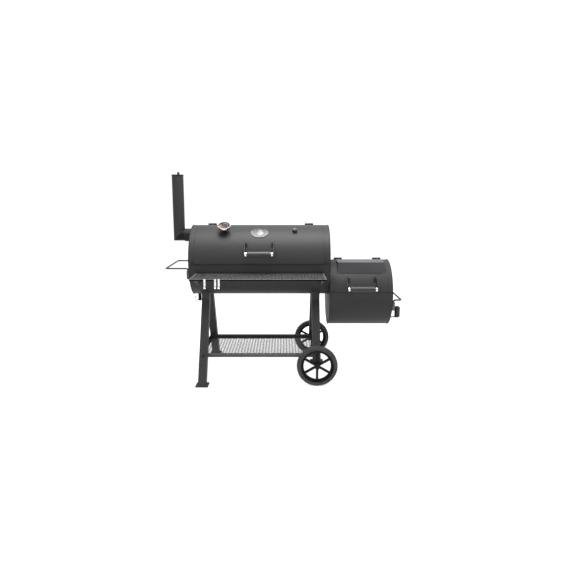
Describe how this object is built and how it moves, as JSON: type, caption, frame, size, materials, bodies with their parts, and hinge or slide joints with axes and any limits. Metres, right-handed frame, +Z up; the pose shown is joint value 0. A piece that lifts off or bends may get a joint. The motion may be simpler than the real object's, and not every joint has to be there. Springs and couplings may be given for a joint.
{
  "type": "offset smoker",
  "caption": "Barrel smoker with an offset firebox, chimney stack, hinged lids, front and bottom shelves, lift handles and splayed legs on wheels, for slow cooking outdoors",
  "frame": {"origin": "on the floor, under the middle of the overall length and depth", "axes": "+X along the barrel towards the firebox, -Y the front, +Z up"},
  "size_m": [1.526, 0.8414, 1.3272],
  "materials": {
    "black_paint": "satin high-heat paint",
    "grip_black": "smooth heat-resistant grip",
    "bright_steel": "polished",
    "bare_steel": "plain steel",
    "grate_iron": "enamelled",
    "tyre_black": "matt",
    "clear_glass": "clear",
    "dial_face": "printed dial",
    "needle_red": "matt",
    "badge_metal": "satin"
  },
  "bodies": {
    "chassis": {"axle": "bare_steel", "barrel_end_left": "black_paint", "barrel_end_right": "black_paint", "barrel_shell": "black_paint", "bottom_shelf_deck": "black_paint", "bottom_shelf_frame": "black_paint", "charcoal_grate": "grate_iron", "cooking_grates": "grate_iron", "door_hinge_and_keeper": "black_paint", "firebox_end_left": "black_paint", "firebox_end_right": "black_paint", "firebox_lower": "black_paint", "firebox_upper": "black_paint", "front_shelf_deck": "black_paint", "front_shelf_frame": "black_paint", "grate_ledges": "black_paint", "grease_drain": "black_paint", "left_front_leg": "black_paint", "left_lift_handle": "black_paint", "left_rear_leg": "black_paint", "leg_plates": "black_paint", "leg_saddles": "black_paint", "lid_hinge_leaves": "black_paint", "lid_hinge_pins": "bare_steel", "lid_stops": "black_paint", "right_lift_handle": "black_paint", "stack_elbow": "black_paint", "stack_pipe": "black_paint", "stack_pivot": "bare_steel", "tool_hooks": "bright_steel", "wheel_front_leg": "black_paint", "wheel_rear_leg": "black_paint"},
    "barrel_lid": {"barrel_lid": "black_paint", "barrel_lid_knuckles": "black_paint", "barrel_handle_straps": "black_paint", "barrel_handle_fittings": "bright_steel", "barrel_handle_grip": "grip_black", "gauge_case": "black_paint", "gauge_bezel": "bright_steel", "gauge_dial": "dial_face", "gauge_lens": "clear_glass", "port_plug": "black_paint", "badge_plate": "badge_metal"},
    "needle": {"gauge_needle": "needle_red"},
    "firebox_lid": {"firebox_lid": "black_paint", "firebox_lid_knuckles": "black_paint", "firebox_handle_straps": "black_paint", "firebox_handle_fittings": "bright_steel", "firebox_handle_grip": "grip_black", "warming_plate": "black_paint"},
    "side_door": {"side_door": "black_paint", "door_pull_grip": "grip_black", "door_pins": "bare_steel"},
    "door_latch": {"door_latch": "black_paint"},
    "air_damper": {"air_damper": "black_paint"},
    "stack_cap": {"stack_cap": "black_paint"},
    "front_wheel": {"front_wheel_rim": "black_paint", "front_wheel_tyre": "tyre_black"},
    "rear_wheel": {"rear_wheel_rim": "black_paint", "rear_wheel_tyre": "tyre_black"}
  },
  "joints": [
    {"name": "barrel_lid_hinge", "type": "hinge", "parent": "chassis", "child": "barrel_lid", "pos_m": [-0.1655, 0.09018, 0.98715], "axis": [-1, 0, 0], "range_deg": [0, 115]},
    {"name": "thermometer_needle", "type": "hinge", "parent": "barrel_lid", "child": "needle", "pos_m": [-0.3895, -0.09651, 0.98491], "axis": [0, 0.5299, -0.848], "range_deg": [0, 250]},
    {"name": "firebox_lid_hinge", "type": "hinge", "parent": "chassis", "child": "firebox_lid", "pos_m": [0.4825, 0.08787, 0.75666], "axis": [-1, 0, 0], "range_deg": [0, 110]},
    {"name": "side_door_hinge", "type": "hinge", "parent": "chassis", "child": "side_door", "pos_m": [0.69, 0.15516, 0.436], "axis": [0, 0, 1], "range_deg": [0, 110]},
    {"name": "door_latch_pivot", "type": "hinge", "parent": "side_door", "child": "door_latch", "pos_m": [0.687, -0.03884, 0.488], "axis": [-1, 0, 0], "range_deg": [0, 60]},
    {"name": "air_damper_pivot", "type": "hinge", "parent": "side_door", "child": "air_damper", "pos_m": [0.687, 0.08716, 0.412], "axis": [1, 0, 0], "range_deg": [0, 45]},
    {"name": "stack_cap_pivot", "type": "hinge", "parent": "chassis", "child": "stack_cap", "pos_m": [-0.703, 0.07466, 1.306], "axis": [0, 0, 1], "range_deg": [0, 150]},
    {"name": "front_wheel_spin", "type": "hinge", "parent": "chassis", "child": "front_wheel", "pos_m": [0.197, -0.28484, 0.127], "axis": [0, 1, 0], "continuous": true},
    {"name": "rear_wheel_spin", "type": "hinge", "parent": "chassis", "child": "rear_wheel", "pos_m": [0.197, 0.37916, 0.127], "axis": [0, 1, 0], "continuous": true}
  ]
}
